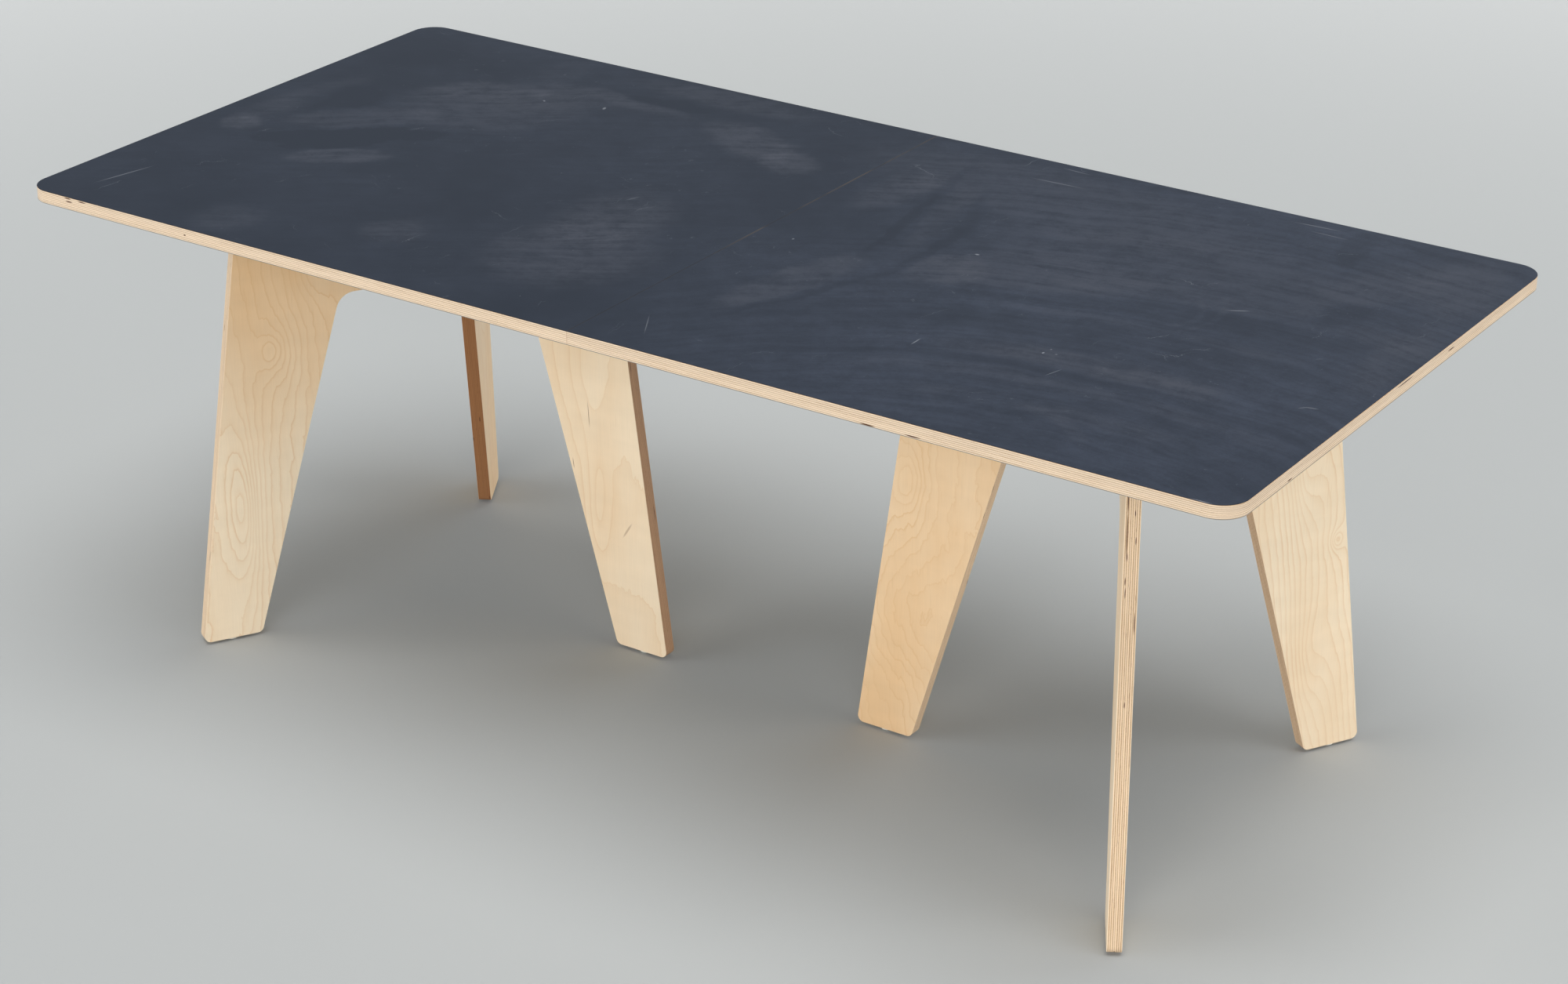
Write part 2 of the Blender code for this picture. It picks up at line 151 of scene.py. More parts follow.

# The dark sheet: clean and hazy, the haze partly painted sheen, then smudges, dabs,
# scratches, dust, hairline scratches, the worn seam and the cut rim, which starts this far
# below the face. Haze and painted sheen grow between two X, and the seam's wear fades out
# over two distances from it and between two Y.
SHEET_CLEAN = "1c232f"
SHEET_HAZE_AND_SHEEN = "383f4d"
SMUDGE = "3f434d"
DAB = "666b73"
SCRATCH = "7d8189"
DUST = "8b8e94"
HAIRLINE = "6f747c"
WORN_SEAM = "5e554d"
SHEET_RIM = "37312d"
SHEET_RIM_DROP = 0.00012
SHEEN_AND_HAZE_CHANGE = (-0.12, 0.42)
WEAR_WIDTH = (0.0022, 0.0008)
WEAR_CHANGE = (-0.16, 0.02)
SHEET_SPECULAR = 0.08
SHEET_ROUGHNESS = (0.52, 0.58)
SHEET_RELIEF = (0.07, 0.0002)

# The two tones of each other finish
BACKING_TONES = ("8b867e", "9a958c")
POST_TONES = ("e2c397", "cfa877")
ZINC_TONES = ("b9bcbd", "9a9d9c")
NICKEL_TONES = ("f4f0e6", "dcd6ca")

# Wiping left straight streaks on the left, at this turn from X in degrees, and streaks round
# an elbow's place on the right. The first kind gives way to the second between two X.
STREAK_TURN = 34.0
ELBOW = (0.75, -0.95)
STREAK_CHANGE = (-0.15, 0.10)

# Hairline scratches: the turn in degrees and the seed of each layer
HAIRLINES = ((-20.0, 2.0), (52.0, 5.0), (-103.0, 9.0))

# A side of a board is flat if its slant is over this. Walls of screw holes, which nobody
# sees, lie in the far corner of the map. They are this far from the outline of a top.
FLAT_SLANT = 0.9
HIDDEN_CORNER = 0.999
BORE_CLEARANCE = 0.02

# For each axis of a board, the axes that its two sides have across and up on the map
MAP_AXES = ((2, 1), (0, 2), (0, 1))

# Each leg panel: its base's side of the seam, and its direction in degrees
LEG_PANELS = {
    "leg_panel_left_inner": (-1, 0),
    "leg_panel_left_back": (-1, 120),
    "leg_panel_left_front": (-1, 240),
    "leg_panel_right_inner": (1, 180),
    "leg_panel_right_front": (1, 300),
    "leg_panel_right_back": (1, 60),
}

# Where each side of a board lies on its map, as left, right, bottom and top. A side is an
# axis of the board's frame and the way it faces. The thin edges get far more room than
# their area, because their plies are fine.
LEG_ROOMS = {
    (1, -1): (0.005, 0.455, 0.005, 0.705),
    (1, 1): (0.465, 0.915, 0.005, 0.705),
    (0, 1): (0.005, 0.995, 0.715, 0.800),
    (0, -1): (0.005, 0.995, 0.810, 0.895),
    (2, 1): (0.005, 0.995, 0.905, 0.945),
    (2, -1): (0.005, 0.995, 0.955, 0.990),
}
CORE_ROOMS = {
    (0, -1): (0.005, 0.995, 0.005, 0.125),
    (0, 1): (0.005, 0.995, 0.135, 0.255),
    (2, -1): (0.005, 0.995, 0.265, 0.385),
    (2, 1): (0.005, 0.995, 0.395, 0.515),
    (1, 1): (0.005, 0.995, 0.525, 0.745),
    (1, -1): (0.005, 0.995, 0.755, 0.990),
}
SHEET_ROOMS = {
    (0, -1): (0.005, 0.995, 0.002, 0.007),
    (0, 1): (0.005, 0.995, 0.010, 0.015),
    (2, -1): (0.005, 0.995, 0.018, 0.023),
    (2, 1): (0.005, 0.995, 0.026, 0.031),
    (1, 1): (0.005, 0.995, 0.036, 0.955),
    (1, -1): (0.005, 0.995, 0.960, 0.990),
}

# The holes in a leg panel for a screw and a nail: their distance from the base's axis,
# their height and their reach
LEG_BORES = ((0.2300, 0.7168, 0.0080), (0.3775, 0.0125, 0.0065))

# The veneer on each leg panel, by distance from the base's axis and by height. slope is
# how fast growth rings come, in rings per metre outward and upward, and swell is how far
# noise bends them, in rings. A bump is a nest of closed rings: its middle, its half sizes
# and its rings. wiggle is how ragged the rings are, and lines is how dark. The pair after
# lines is how tan the veneer is at the foot and at the top, partly the panel's own tone and
# partly painted shade under the tabletop. The value after it is how much painted shade
# browns the cut edges, and even is how alike their plies look. cracks are short dark splits:
# their middle, half sizes, lean and strength. gaps are open pits in the cut edges: their
# middle, across, through and along the panel, and their half length.
FIGURES = {
    "leg_panel_left_front": dict(
        slope=(46.0, 1.5),
        swell=1.6,
        wiggle=1.5,
        bumps=(
            (0.350, 0.225, 0.030, 0.160, 6.4),
            (0.290, 0.476, 0.017, 0.030, 2.6),
            (0.270, 0.470, 0.038, 0.055, 2.2),
            (0.215, 0.600, 0.040, 0.070, -3.4),
        ),
        lines=0.95,
        warm=(-0.20, 0.62),
        brown=0.05,
        even=0.6,
        gaps=((0.4000, 0.0060, 0.150, 0.008), (0.3500, -0.0040, 0.520, 0.006)),
        cracks=(),
    ),
    "leg_panel_left_inner": dict(
        slope=(10.0, 3.0),
        swell=1.6,
        wiggle=0.5,
        bumps=((0.300, 0.235, 0.026, 0.120, 3.0), (0.285, 0.470, 0.045, 0.130, 2.2)),
        lines=0.45,
        warm=(0.05, 0.05),
        brown=0.72,
        even=0.5,
        gaps=((0.3600, -0.0050, 0.480, 0.010), (0.3900, 0.0060, 0.240, 0.012)),
        cracks=(
            (0.283, 0.384, 0.0006, 0.019, 4.0, 0.75),
            (0.252, 0.295, 0.0006, 0.008, 8.0, 0.75),
            (0.353, 0.206, 0.0016, 0.014, -32.0, 0.40),
        ),
    ),
    "leg_panel_left_back": dict(
        slope=(40.0, 3.0),
        swell=2.0,
        wiggle=1.0,
        bumps=((0.290, 0.420, 0.035, 0.140, 3.0),),
        lines=0.7,
        warm=(0.30, 0.30),
        brown=0.95,
        even=0.6,
        gaps=(
            (0.2921, 0.0095, 0.136, 0.004),
            (0.2802, -0.0041, 0.178, 0.005),
            (0.3281, -0.0091, 0.011, 0.004),
            (0.2300, 0.0060, 0.390, 0.010),
        ),
        cracks=(),
    ),
    "leg_panel_right_inner": dict(
        slope=(36.0, -5.0),
        swell=1.8,
        wiggle=2.2,
        bumps=((0.343, 0.420, 0.030, 0.062, 4.4), (0.340, 0.200, 0.120, 0.140, -5.5)),
        lines=0.8,
        warm=(0.46, 0.36),
        brown=0.06,
        even=0.0,
        gaps=(
            (0.2031, 0.0077, 0.445, 0.006),
            (0.2164, 0.0090, 0.399, 0.005),
            (0.2518, -0.0098, 0.276, 0.004),
        ),
        cracks=(),
    ),
    "leg_panel_right_front": dict(
        slope=(40.0, 4.0),
        swell=2.0,
        wiggle=1.0,
        bumps=((0.300, 0.300, 0.030, 0.120, 3.0),),
        lines=0.7,
        warm=(-0.05, 0.0),
        brown=0.0,
        even=0.0,
        gaps=(
            (0.3534, -0.0067, 0.527, 0.005),
            (0.3556, -0.0061, 0.511, 0.007),
            (0.3489, -0.0055, 0.560, 0.005),
            (0.3460, -0.0067, 0.590, 0.030),
            (0.3390, -0.0067, 0.640, 0.020),
            (0.3408, 0.0030, 0.619, 0.004),
            (0.3458, 0.0051, 0.582, 0.005),
            (0.3600, 0.0075, 0.470, 0.014),
            (0.3766, -0.0008, 0.358, 0.004),
            (0.4246, 0.0000, 0.0075, 0.002),
        ),
        cracks=(),
    ),
    "leg_panel_right_back": dict(
        slope=(92.0, 14.0),
        swell=2.4,
        wiggle=1.0,
        bumps=(
            (0.361, 0.345, 0.012, 0.018, 3.6),
            (0.300, 0.500, 0.028, 0.130, 4.0),
            (0.330, 0.170, 0.030, 0.110, 3.0),
        ),
        lines=0.7,
        warm=(-0.05, -0.05),
        brown=0.22,
        even=0.0,
        gaps=((0.2500, 0.0060, 0.330, 0.008), (0.2900, -0.0050, 0.180, 0.006)),
        cracks=(),
    ),
}

# Open pits in the bare edges of the tops: their middle, as Y, height from the core's
# middle and X, and their half sizes along Y and along X
CORE_GAPS = (
    (-0.475, 0.0076, -0.9149, 0.003, 0.006),
    (-0.475, 0.0030, -0.9124, 0.003, 0.006),
    (-0.475, 0.0072, -0.8866, 0.003, 0.007),
    (-0.475, -0.0004, -0.6853, 0.003, 0.002),
    (-0.475, -0.0080, 0.4778, 0.003, 0.010),
    (-0.475, -0.0073, 0.5459, 0.003, 0.011),
    (0.1532, 0.0018, 1.0000, 0.009, 0.003),
    (0.0086, 0.0054, 1.0000, 0.022, 0.003),
    (-0.3260, -0.0064, 1.0000, 0.006, 0.003),
)

# Marks on the tabletop: middle, half sizes, turn in degrees, strength and softness.
# Wipe marks are paler than the clean sheet where the strength is above zero.
WIPES = (
    (-0.66, 0.205, 0.135, 0.105, 28, 0.29, 0.50),
    (-0.60, 0.275, 0.150, 0.045, 22, 0.13, 0.50),
    (-0.50, 0.335, 0.130, 0.025, -4, 0.29, 0.50),
    (-0.78, 0.050, 0.120, 0.045, 35, 0.25, 0.30),
    (-0.745, -0.030, 0.150, 0.034, 35.5, -0.25, 0.15),
    (-0.93, -0.070, 0.030, 0.040, 30, 0.50, 0.60),
    (-0.705, -0.118, 0.075, 0.034, 33, 0.39, 0.30),
    (-0.745, -0.078, 0.080, 0.018, 35, -0.19, 0.20),
    (-0.925, 0.060, 0.030, 0.120, -8, 0.27, 0.70),
    (-0.865, 0.080, 0.012, 0.100, 10, 0.10, 0.60),
    (-0.870, 0.100, 0.060, 0.060, 30, -0.25, 0.60),
    (-0.66, 0.400, 0.035, 0.070, 12, 0.12, 0.70),
    (-0.22, 0.285, 0.100, 0.050, -24, 0.46, 0.45),
    (-0.12, 0.240, 0.050, 0.042, -38, 0.42, 0.40),
    (-0.20, -0.100, 0.080, 0.110, 12, 0.34, 0.50),
    (-0.17, -0.240, 0.110, 0.120, 0, 0.34, 0.50),
    (-0.43, -0.310, 0.045, 0.045, 0, 0.28, 0.60),
    (-0.66, -0.400, 0.045, 0.050, 30, 0.23, 0.70),
    (-0.36, 0.435, 0.150, 0.035, 0, 0.28, 0.60),
    (-0.42, 0.362, 0.060, 0.020, 3, -0.30, 0.50),
    (-0.93, 0.360, 0.080, 0.110, 0, -0.13, 0.60),
    (0.30, 0.330, 0.330, 0.110, -6, 0.24, 0.40),
    (0.55, 0.200, 0.260, 0.100, 10, 0.23, 0.45),
    (0.42, 0.060, 0.150, 0.080, 24, 0.27, 0.40),
    (0.310, 0.000, 0.060, 0.060, 40, 0.38, 0.30),
    (0.150, -0.160, 0.038, 0.130, -14, 0.38, 0.40),
    (0.080, 0.240, 0.040, 0.090, -8, 0.34, 0.50),
    (0.190, 0.170, 0.018, 0.140, 12, 0.19, 0.50),
    (0.93, 0.340, 0.060, 0.110, 10, 0.38, 0.50),
    (0.83, 0.270, 0.050, 0.130, -20, 0.27, 0.50),
    (0.960, 0.060, 0.035, 0.130, 0, 0.30, 0.60),
    (0.842, 0.155, 0.030, 0.050, 0, -0.23, 0.50),
    (0.815, 0.118, 0.060, 0.014, 14, -0.14, 0.60),
    (0.128, 0.300, 0.010, 0.090, 10, -0.19, 0.60),
    (0.158, 0.110, 0.010, 0.130, 8, -0.17, 0.60),
    (0.222, 0.210, 0.012, 0.090, 22, -0.17, 0.60),
    (0.248, 0.040, 0.011, 0.110, 0, -0.21, 0.60),
    (0.185, -0.190, 0.010, 0.140, -24, -0.21, 0.50),
    (0.745, 0.390, 0.022, 0.075, 10, -0.23, 0.50),
    (0.430, -0.120, 0.080, 0.060, 25, -0.13, 0.50),
)

# Strokes of the same kind that curve round a middle: that middle, the radius, half the
# width, the first and last angle in degrees, and the strength
STROKES = (
    (-0.66, 0.190, 0.118, 0.018, 60, 175, 0.24),
    (-0.66, 0.190, 0.080, 0.010, 70, 200, 0.23),
    (0.71, -0.95, 0.775, 0.026, 82, 109, 0.57),
    (0.71, -0.95, 0.735, 0.010, 66, 122, -0.21),
    (0.71, -0.95, 0.700, 0.018, 70, 118, 0.23),
    (0.71, -0.95, 0.660, 0.008, 75, 110, -0.13),
    (0.71, -0.95, 0.620, 0.020, 70, 112, 0.23),
    (0.71, -0.95, 0.865, 0.036, 96, 122, -0.21),
    (0.71, -0.95, 0.930, 0.012, 80, 112, 0.19),
    (0.79, -0.74, 0.800, 0.026, 72, 128, -0.18),
    (0.79, -0.74, 0.860, 0.030, 76, 118, 0.21),
    (0.79, -0.74, 0.935, 0.010, 85, 120, -0.11),
    (0.79, -0.74, 1.020, 0.012, 90, 118, -0.11),
    (0.62, 0.05, 0.060, 0.006, 300, 60, 0.27),
    (0.60, 0.06, 0.105, 0.005, 300, 40, 0.23),
    (0.64, -0.46, 0.120, 0.012, 30, 150, 0.23),
)

# Scratches, nicks and a streak of painted glint: middle, half sizes, turn in degrees and strength
SCRATCHES = (
    (-0.914, -0.355, 0.0014, 0.042, -12, 0.40),
    (0.075, -0.395, 0.0007, 0.026, 29.5, 0.36),
    (0.566, -0.181, 0.0014, 0.0024, 0, 0.95),
    (0.569, -0.165, 0.0012, 0.0018, 0, 0.45),
    (0.583, -0.176, 0.0016, 0.0016, 0, 0.40),
    (0.610, -0.2305, 0.0009, 0.0125, -15, 0.40),
    (0.406, -0.242, 0.0010, 0.0100, 0, 0.65),
    (0.9305, -0.152, 0.0055, 0.0012, 49, 0.35),
    (0.9405, -0.1465, 0.0080, 0.0014, 11, 0.42),
    (0.260, 0.395, 0.0360, 0.0016, 2, 0.30),
    (0.258, 0.455, 0.0200, 0.0013, -4, 0.30),
    (0.712, 0.096, 0.0140, 0.0013, 28, 0.55),
    (0.310, 0.077, 0.0030, 0.0020, 0, 0.80),
    (-0.500, 0.290, 0.0022, 0.0050, 20, 0.60),
    (-0.600, 0.266, 0.0030, 0.0016, -40, 0.60),
    (-0.225, -0.0125, 0.0016, 0.0100, -21, 0.22),
    (0.061, -0.018, 0.0014, 0.0022, 0, 0.60),
    # A short pale streak on the near edge by the right corner, partly a scuff and partly a painted
    # glint
    (0.955, -0.4735, 0.0130, 0.0008, 0, 0.90),
    (0.660, 0.448, 0.0300, 0.0016, 3, 0.35),
    (0.690, 0.425, 0.0240, 0.0012, -2, 0.30),
)


def hue(code):
    """A hex colour as the linear values that a shader takes."""
    parts = [int(code[i : i + 2], 16) / 255 for i in (0, 2, 4)]
    linear = [c / 12.92 if c <= 0.04045 else ((c + 0.055) / 1.055) ** 2.4 for c in parts]
    return (*linear, 1.0)


class Maker:
    """A tree of nodes, written as nested calls. Values are numbers, sockets or hex colours."""

    def __init__(self, tree):
        self.tree = tree
        self.tree.nodes.clear()

    def feed(self, socket, value):
        if isinstance(value, bpy.types.NodeSocket):
            self.tree.links.new(value, socket)
        elif isinstance(value, str):
            socket.default_value = hue(value)
        else:
            socket.default_value = value

    def node(self, kind, inputs=None, **settings):
        made = self.tree.nodes.new(kind)
        for name, value in settings.items():
            setattr(made, name, value)
        for name, value in (inputs or {}).items():
            self.feed(made.inputs[name], value)
        return made

    def math(self, operation, *values):
        inputs = dict(enumerate(values))
        return self.node("ShaderNodeMath", inputs, operation=operation).outputs[0]

    def vector(self, operation, *values, result="Vector"):
        inputs = dict(enumerate(values))
        return self.node("ShaderNodeVectorMath", inputs, operation=operation).outputs[result]

    def sum(self, *values):
        total = values[0]
        for value in values[1:]:
            total = self.math("ADD", total, value)
        return total

    def times(self, *values):
        total = values[0]
        for value in values[1:]:
            total = self.math("MULTIPLY", total, value)
        return total

    def scaled(self, value, factor, offset=0.0):
        """value times factor, plus offset."""
        return self.math("MULTIPLY_ADD", value, factor, offset)

    def rest(self, value):
        """What a share leaves of 1."""
        return self.math("SUBTRACT", 1.0, value)

    def split(self, vector):
        return self.node("ShaderNodeSeparateXYZ", {0: vector}).outputs

    def joined(self, x=0.0, y=0.0, z=0.0):
        return self.node("ShaderNodeCombineXYZ", {0: x, 1: y, 2: z}).outputs[0]

    def dot(self, vector, other):
        return self.vector("DOT_PRODUCT", vector, other, result="Value")

    def length(self, vector):
        return self.vector("LENGTH", vector, result="Value")

    def shade(self, colour, factor):
        """colour made lighter or darker, by a factor round 1."""
        inputs = {0: colour, "Scale": factor}
        return self.node("ShaderNodeVectorMath", inputs, operation="SCALE").outputs[0]

    def places_in(self, frame):
        """How far a point lies along each axis of a frame."""
        origin, axes = frame
        away = self.vector("SUBTRACT", self.place(), origin)
        return [self.dot(away, axis) for axis in axes]

    def slants_to(self, axes):
        """How squarely the surface faces each of the axes."""
        normal = self.normal()
        return [self.dot(normal, axis) for axis in axes]

    def ramp(self, value, low, high, to_low=0.0, to_high=1.0, kind="SMOOTHSTEP"):
        """Turns the span from low to high into to_low to to_high, and is level past it."""
        inputs = {0: value, 1: low, 2: high, 3: to_low, 4: to_high}
        return self.node("ShaderNodeMapRange", inputs, interpolation_type=kind).outputs[0]


class Shader(Maker):
    """A material's nodes, round one Principled shader."""

    def __init__(self, name):
        self.material = bpy.data.materials.new(name)
        self.material.use_nodes = True
        super().__init__(self.material.node_tree)
        self.surface = self.node("ShaderNodeBsdfPrincipled")
        self.node("ShaderNodeOutputMaterial", {"Surface": self.surface.outputs[0]})

    def set(self, **inputs):
        """Feeds the surface: roughness=0.4 sets its Roughness, and base_color its Base Color."""
        names = {n.name.lower().replace(" ", "_"): n.name for n in self.surface.inputs}
        for name, value in inputs.items():
            self.feed(self.surface.inputs[names[name]], value)

    def place(self):
        return self.node("ShaderNodeTexCoord").outputs["Object"]

    def normal(self):
        return self.node("ShaderNodeNewGeometry").outputs["Normal"]

    def moved(self, vector, location=(0, 0, 0), rotation=(0, 0, 0), scale=(1, 1, 1)):
        """vector scaled, then turned, then shifted."""
        inputs = {"Vector": vector, "Location": location, "Rotation": rotation, "Scale": scale}
        return self.node("ShaderNodeMapping", inputs).outputs[0]

    def warped(self, vector, scale, detail, reach):
        """vector pushed about by noise, by up to about half of reach."""
        inputs = {"Vector": vector, "Scale": scale, "Detail": detail, "Roughness": 0.6}
        push = self.node("ShaderNodeTexNoise", inputs).outputs[1]
        pushed = self.vector("MULTIPLY_ADD", push, (reach, reach, 0.0), vector)
        return self.moved(pushed, location=(-reach / 2, -reach / 2, 0))

    def lined(self, vector, turn, along, across):
        """A place for noise that then runs in lines, at turn degrees from X."""
        turned = self.moved(vector, rotation=(0, 0, -math.radians(turn)))
        return self.moved(turned, scale=(along, across, 1.0))

    def spot(self, vector, middle, half_sizes, turn, softness):
        """1 inside an ellipse or ellipsoid and 0 outside it. turn is in degrees."""
        turned = (0, 0, math.radians(turn))
        inputs = {"Vector": vector, "Location": middle, "Rotation": turned, "Scale": half_sizes}
        own = self.node("ShaderNodeMapping", inputs, vector_type="TEXTURE").outputs[0]
        return self.ramp(self.length(own), 1.0 + softness, 1.0 - softness)

    def noise(self, vector, scale=1.0, detail=2.0, roughness=0.5, seed=None):
        """Noise from 0 to 1. A seed gives it a pattern of its own."""
        inputs = {"Vector": vector, "Scale": scale, "Detail": detail, "Roughness": roughness}
        if seed is None:
            return self.node("ShaderNodeTexNoise", inputs).outputs[0]
        inputs["W"] = seed
        return self.node("ShaderNodeTexNoise", inputs, noise_dimensions="4D").outputs[0]

    def chance(self, seed):
        """The same random number from 0 to 1 wherever seed is the same."""
        made = self.node("ShaderNodeTexWhiteNoise", {"W": seed}, noise_dimensions="1D")
        return made.outputs["Value"]

    def mix(self, factor, first, second):
        inputs = {0: factor, 6: first, 7: second}
        return self.node("ShaderNodeMix", inputs, data_type="RGBA").outputs[2]

    def bump(self, height, strength, distance):
        inputs = {"Height": height, "Strength": strength, "Distance": distance}
        self.set(normal=self.node("ShaderNodeBump", inputs).outputs[0])


class Layout(Maker):
    """A geometry tree that lays a board's sides out on a map, with room for its edges."""

    def __init__(self, name):
        super().__init__(bpy.data.node_groups.new(name, "GeometryNodeTree"))
        for way in ("INPUT", "OUTPUT"):
            self.tree.interface.new_socket("Geometry", in_out=way, socket_type="NodeSocketGeometry")
        self.by_face = False

    def on_face(self, value):
        settings = {"data_type": "FLOAT_VECTOR", "domain": "FACE"}
        return self.node("GeometryNodeFieldOnDomain", {0: value}, **settings).outputs[0]

    def place(self):
        place = self.node("GeometryNodeInputPosition").outputs[0]
        return self.on_face(place) if self.by_face else place

    def normal(self):
        return self.on_face(self.node("GeometryNodeInputNormal").outputs[0])

    def keep(self, value):
        """Stores the map, under the name OFBake."""
        shape = self.node("NodeGroupInput").outputs[0]
        settings = {"data_type": "FLOAT2", "domain": "CORNER"}
        stored = self.node("GeometryNodeStoreNamedAttribute", {0: shape}, **settings)
        stored.inputs["Name"].default_value = "OFBake"
        sockets = [i for i in stored.inputs if i.name == "Value" and i.enabled]
        self.feed(sockets[0], value)
        self.node("NodeGroupOutput", {0: stored.outputs[0]})


def lay_out(node, frame, spans, rooms, bored):
    """Gives a board its map. frame is its origin and axes, spans its reach along them, and
    rooms the map's part for each side, as left, right, bottom and top. bored(layout, places)
    is 1 on the walls of its screw holes."""
    layout = Layout("map_of_" + node.name)
    places = layout.places_in(frame)
    layout.by_face = True
    middles, slants = layout.places_in(frame), layout.slants_to(frame[1])
    steep = [layout.math("ABSOLUTE", slant) for slant in slants]
    flat = layout.math("GREATER_THAN", steep[1], FLAT_SLANT)
    edge = layout.rest(flat)
    ends = layout.math("GREATER_THAN", steep[2], steep[0])
    kinds = (layout.times(edge, layout.rest(ends)), flat, layout.times(edge, ends))
    outside = layout.rest(layout.times(bored(layout, middles), edge))
    hidden = layout.times(layout.rest(outside), HIDDEN_CORNER)
    total = layout.joined(hidden, hidden)
    for axis, (kind, (across, up)) in enumerate(zip(kinds, MAP_AXES)):
        for sign in (-1, 1):
            left, right, bottom, top = rooms[axis, sign]
            u = layout.ramp(places[across], *spans[across], left, right, "LINEAR")
            v = layout.ramp(places[up], *spans[up], bottom, top, "LINEAR")
            faces = layout.math("GREATER_THAN", layout.scaled(slants[axis], sign), 0.0)
            mask = layout.times(kind, outside, faces)
            total = layout.vector("ADD", total, layout.shade(layout.joined(u, v), mask))
    layout.keep(total)
    node.modifiers.new("map", "NODES").node_group = layout.tree


class Board:
    """Where a point lies in a plywood board, and how its plies and fibres are cut there.
    frame is an origin in the board's middle layer and the axes across, through and along
    the board. ply is the ply's number, share how far through it the point is, and crossed 1
    where its grain runs across the board. on_edge is 1 on the bare edges, and on_end 1 where
    they cut a ply across its grain."""

    def __init__(self, shader, frame, thickness, plies, seed):
        places = shader.places_in(frame)
        self.across, self.depth, self.along = places
        self.solid = shader.joined(*places)
        self.flat = shader.joined(self.across, self.along)
        self.seed = seed
        self.skin_depth = thickness / 2 - thickness / plies

        bend_place = shader.joined(self.across, shader.scaled(self.depth, 30.0), self.along)
        bend = shader.noise(bend_place, 6.0)
        at = shader.scaled(self.depth, plies / thickness, plies / 2)
        at = shader.sum(at, shader.scaled(bend, PLY_WAVE, -PLY_WAVE / 2))
        at = shader.math("MAXIMUM", at, PLY_MARGIN)
        at = shader.math("MINIMUM", at, plies - PLY_MARGIN)
        self.ply = shader.math("FLOOR", at)
        self.share = shader.math("FRACT", at)
        self.crossed = shader.math("MODULO", self.ply, 2.0)

        _, (across, _, along) = frame
        squares = [shader.times(slant, slant) for slant in shader.slants_to((across, along))]
        self.on_edge = shader.math("MINIMUM", shader.sum(*squares), 1.0)
        self.on_end = shader.sum(
            shader.times(self.crossed, squares[0]),
            shader.times(shader.rest(self.crossed), squares[1]),
        )

        # Fibres run along each ply's own grain
        finer = FIBRES_SQUARE - FIBRES_ALONG
        self.fibre_place = shader.joined(
            shader.times(self.across, shader.scaled(self.crossed, -finer, FIBRES_SQUARE)),
            shader.scaled(self.depth, FIBRES_SQUARE),
            shader.times(self.along, shader.scaled(self.crossed, finer, FIBRES_ALONG)),
        )
        self.fibres = shader.noise(self.fibre_place, detail=3.0, roughness=0.6, seed=seed)
        place = self.by_layer(shader, self.ply, scale=11.0, step=5.3)
        self.drift = shader.noise(place, detail=3.0, roughness=0.6, seed=seed + SEEDS["drift"])

    def by_layer(self, shader, layer, scale, step):
        """A place for noise in one layer of the board. Layers lie a step apart in it."""
        across, along = shader.scaled(self.across, scale), shader.scaled(self.along, scale)
        return shader.joined(across, shader.scaled(layer, step), along)


def ring_height(shader, across, along, seed, figure):
    """A slowly varying height whose whole numbers are the growth rings."""
    flat = shader.joined(across, along)
    slow, quick = shader.moved(flat, scale=RING_WAVES), shader.moved(flat, scale=RING_WIGGLE)
    waves = shader.noise(slow, roughness=0.4, seed=seed)
    wiggle = shader.noise(quick, detail=3.0, roughness=0.55, seed=seed)
    outward, upward = figure["slope"]
    height = shader.sum(
        shader.scaled(across, outward),
        shader.scaled(along, upward),
        shader.scaled(waves, 2.0 * figure["swell"]),
        shader.scaled(wiggle, figure["wiggle"]),
    )
    for r, z, half_r, half_z, rings in figure["bumps"]:
        own = shader.moved(
            flat, location=(-r / half_r, -z / half_z, 0), scale=(1 / half_r, 1 / half_z, 1)
        )
        fall = shader.math("POWER", shader.sum(shader.dot(own, own), 1.0), -1.5)
        height = shader.math("MULTIPLY_ADD", fall, rings, height)
    return height


def ring_lines(shader, board, figure):
    """Growth rings: a soft line of even width, and a tone that deepens towards each line."""
    across, along, seed = board.across, board.along, board.seed
    height = ring_height(shader, across, along, seed, figure)
    out = ring_height(shader, shader.sum(across, RING_STEP), along, seed, figure)
    up = ring_height(shader, across, shader.sum(along, RING_STEP), seed, figure)
    slope_out = shader.math("SUBTRACT", out, height)
    slope_up = shader.math("SUBTRACT", up, height)
    steepness = shader.length(shader.joined(slope_out, slope_up))
    steepness = shader.math("MAXIMUM", steepness, RING_STEEPNESS)
    to_metres = shader.math("DIVIDE", RING_STEP, steepness)
    phase = shader.math("FRACT", height)
    above = shader.times(phase, to_metres)
    below = shader.times(shader.rest(phase), to_metres)
    sharp, soft = RING_WIDTH
    sharp_side, soft_side = shader.ramp(above, sharp, 0.0), shader.ramp(below, soft, 0.0)
    line = shader.math("MAXIMUM", sharp_side, soft_side)
    own = shader.chance(shader.sum(shader.math("FLOOR", height), seed + SEEDS["ring"]))
    line = shader.times(line, shader.ramp(own, 0.0, 1.0, 0.45, 1.0, "LINEAR"))
    return line, shader.math("POWER", phase, 3.0)


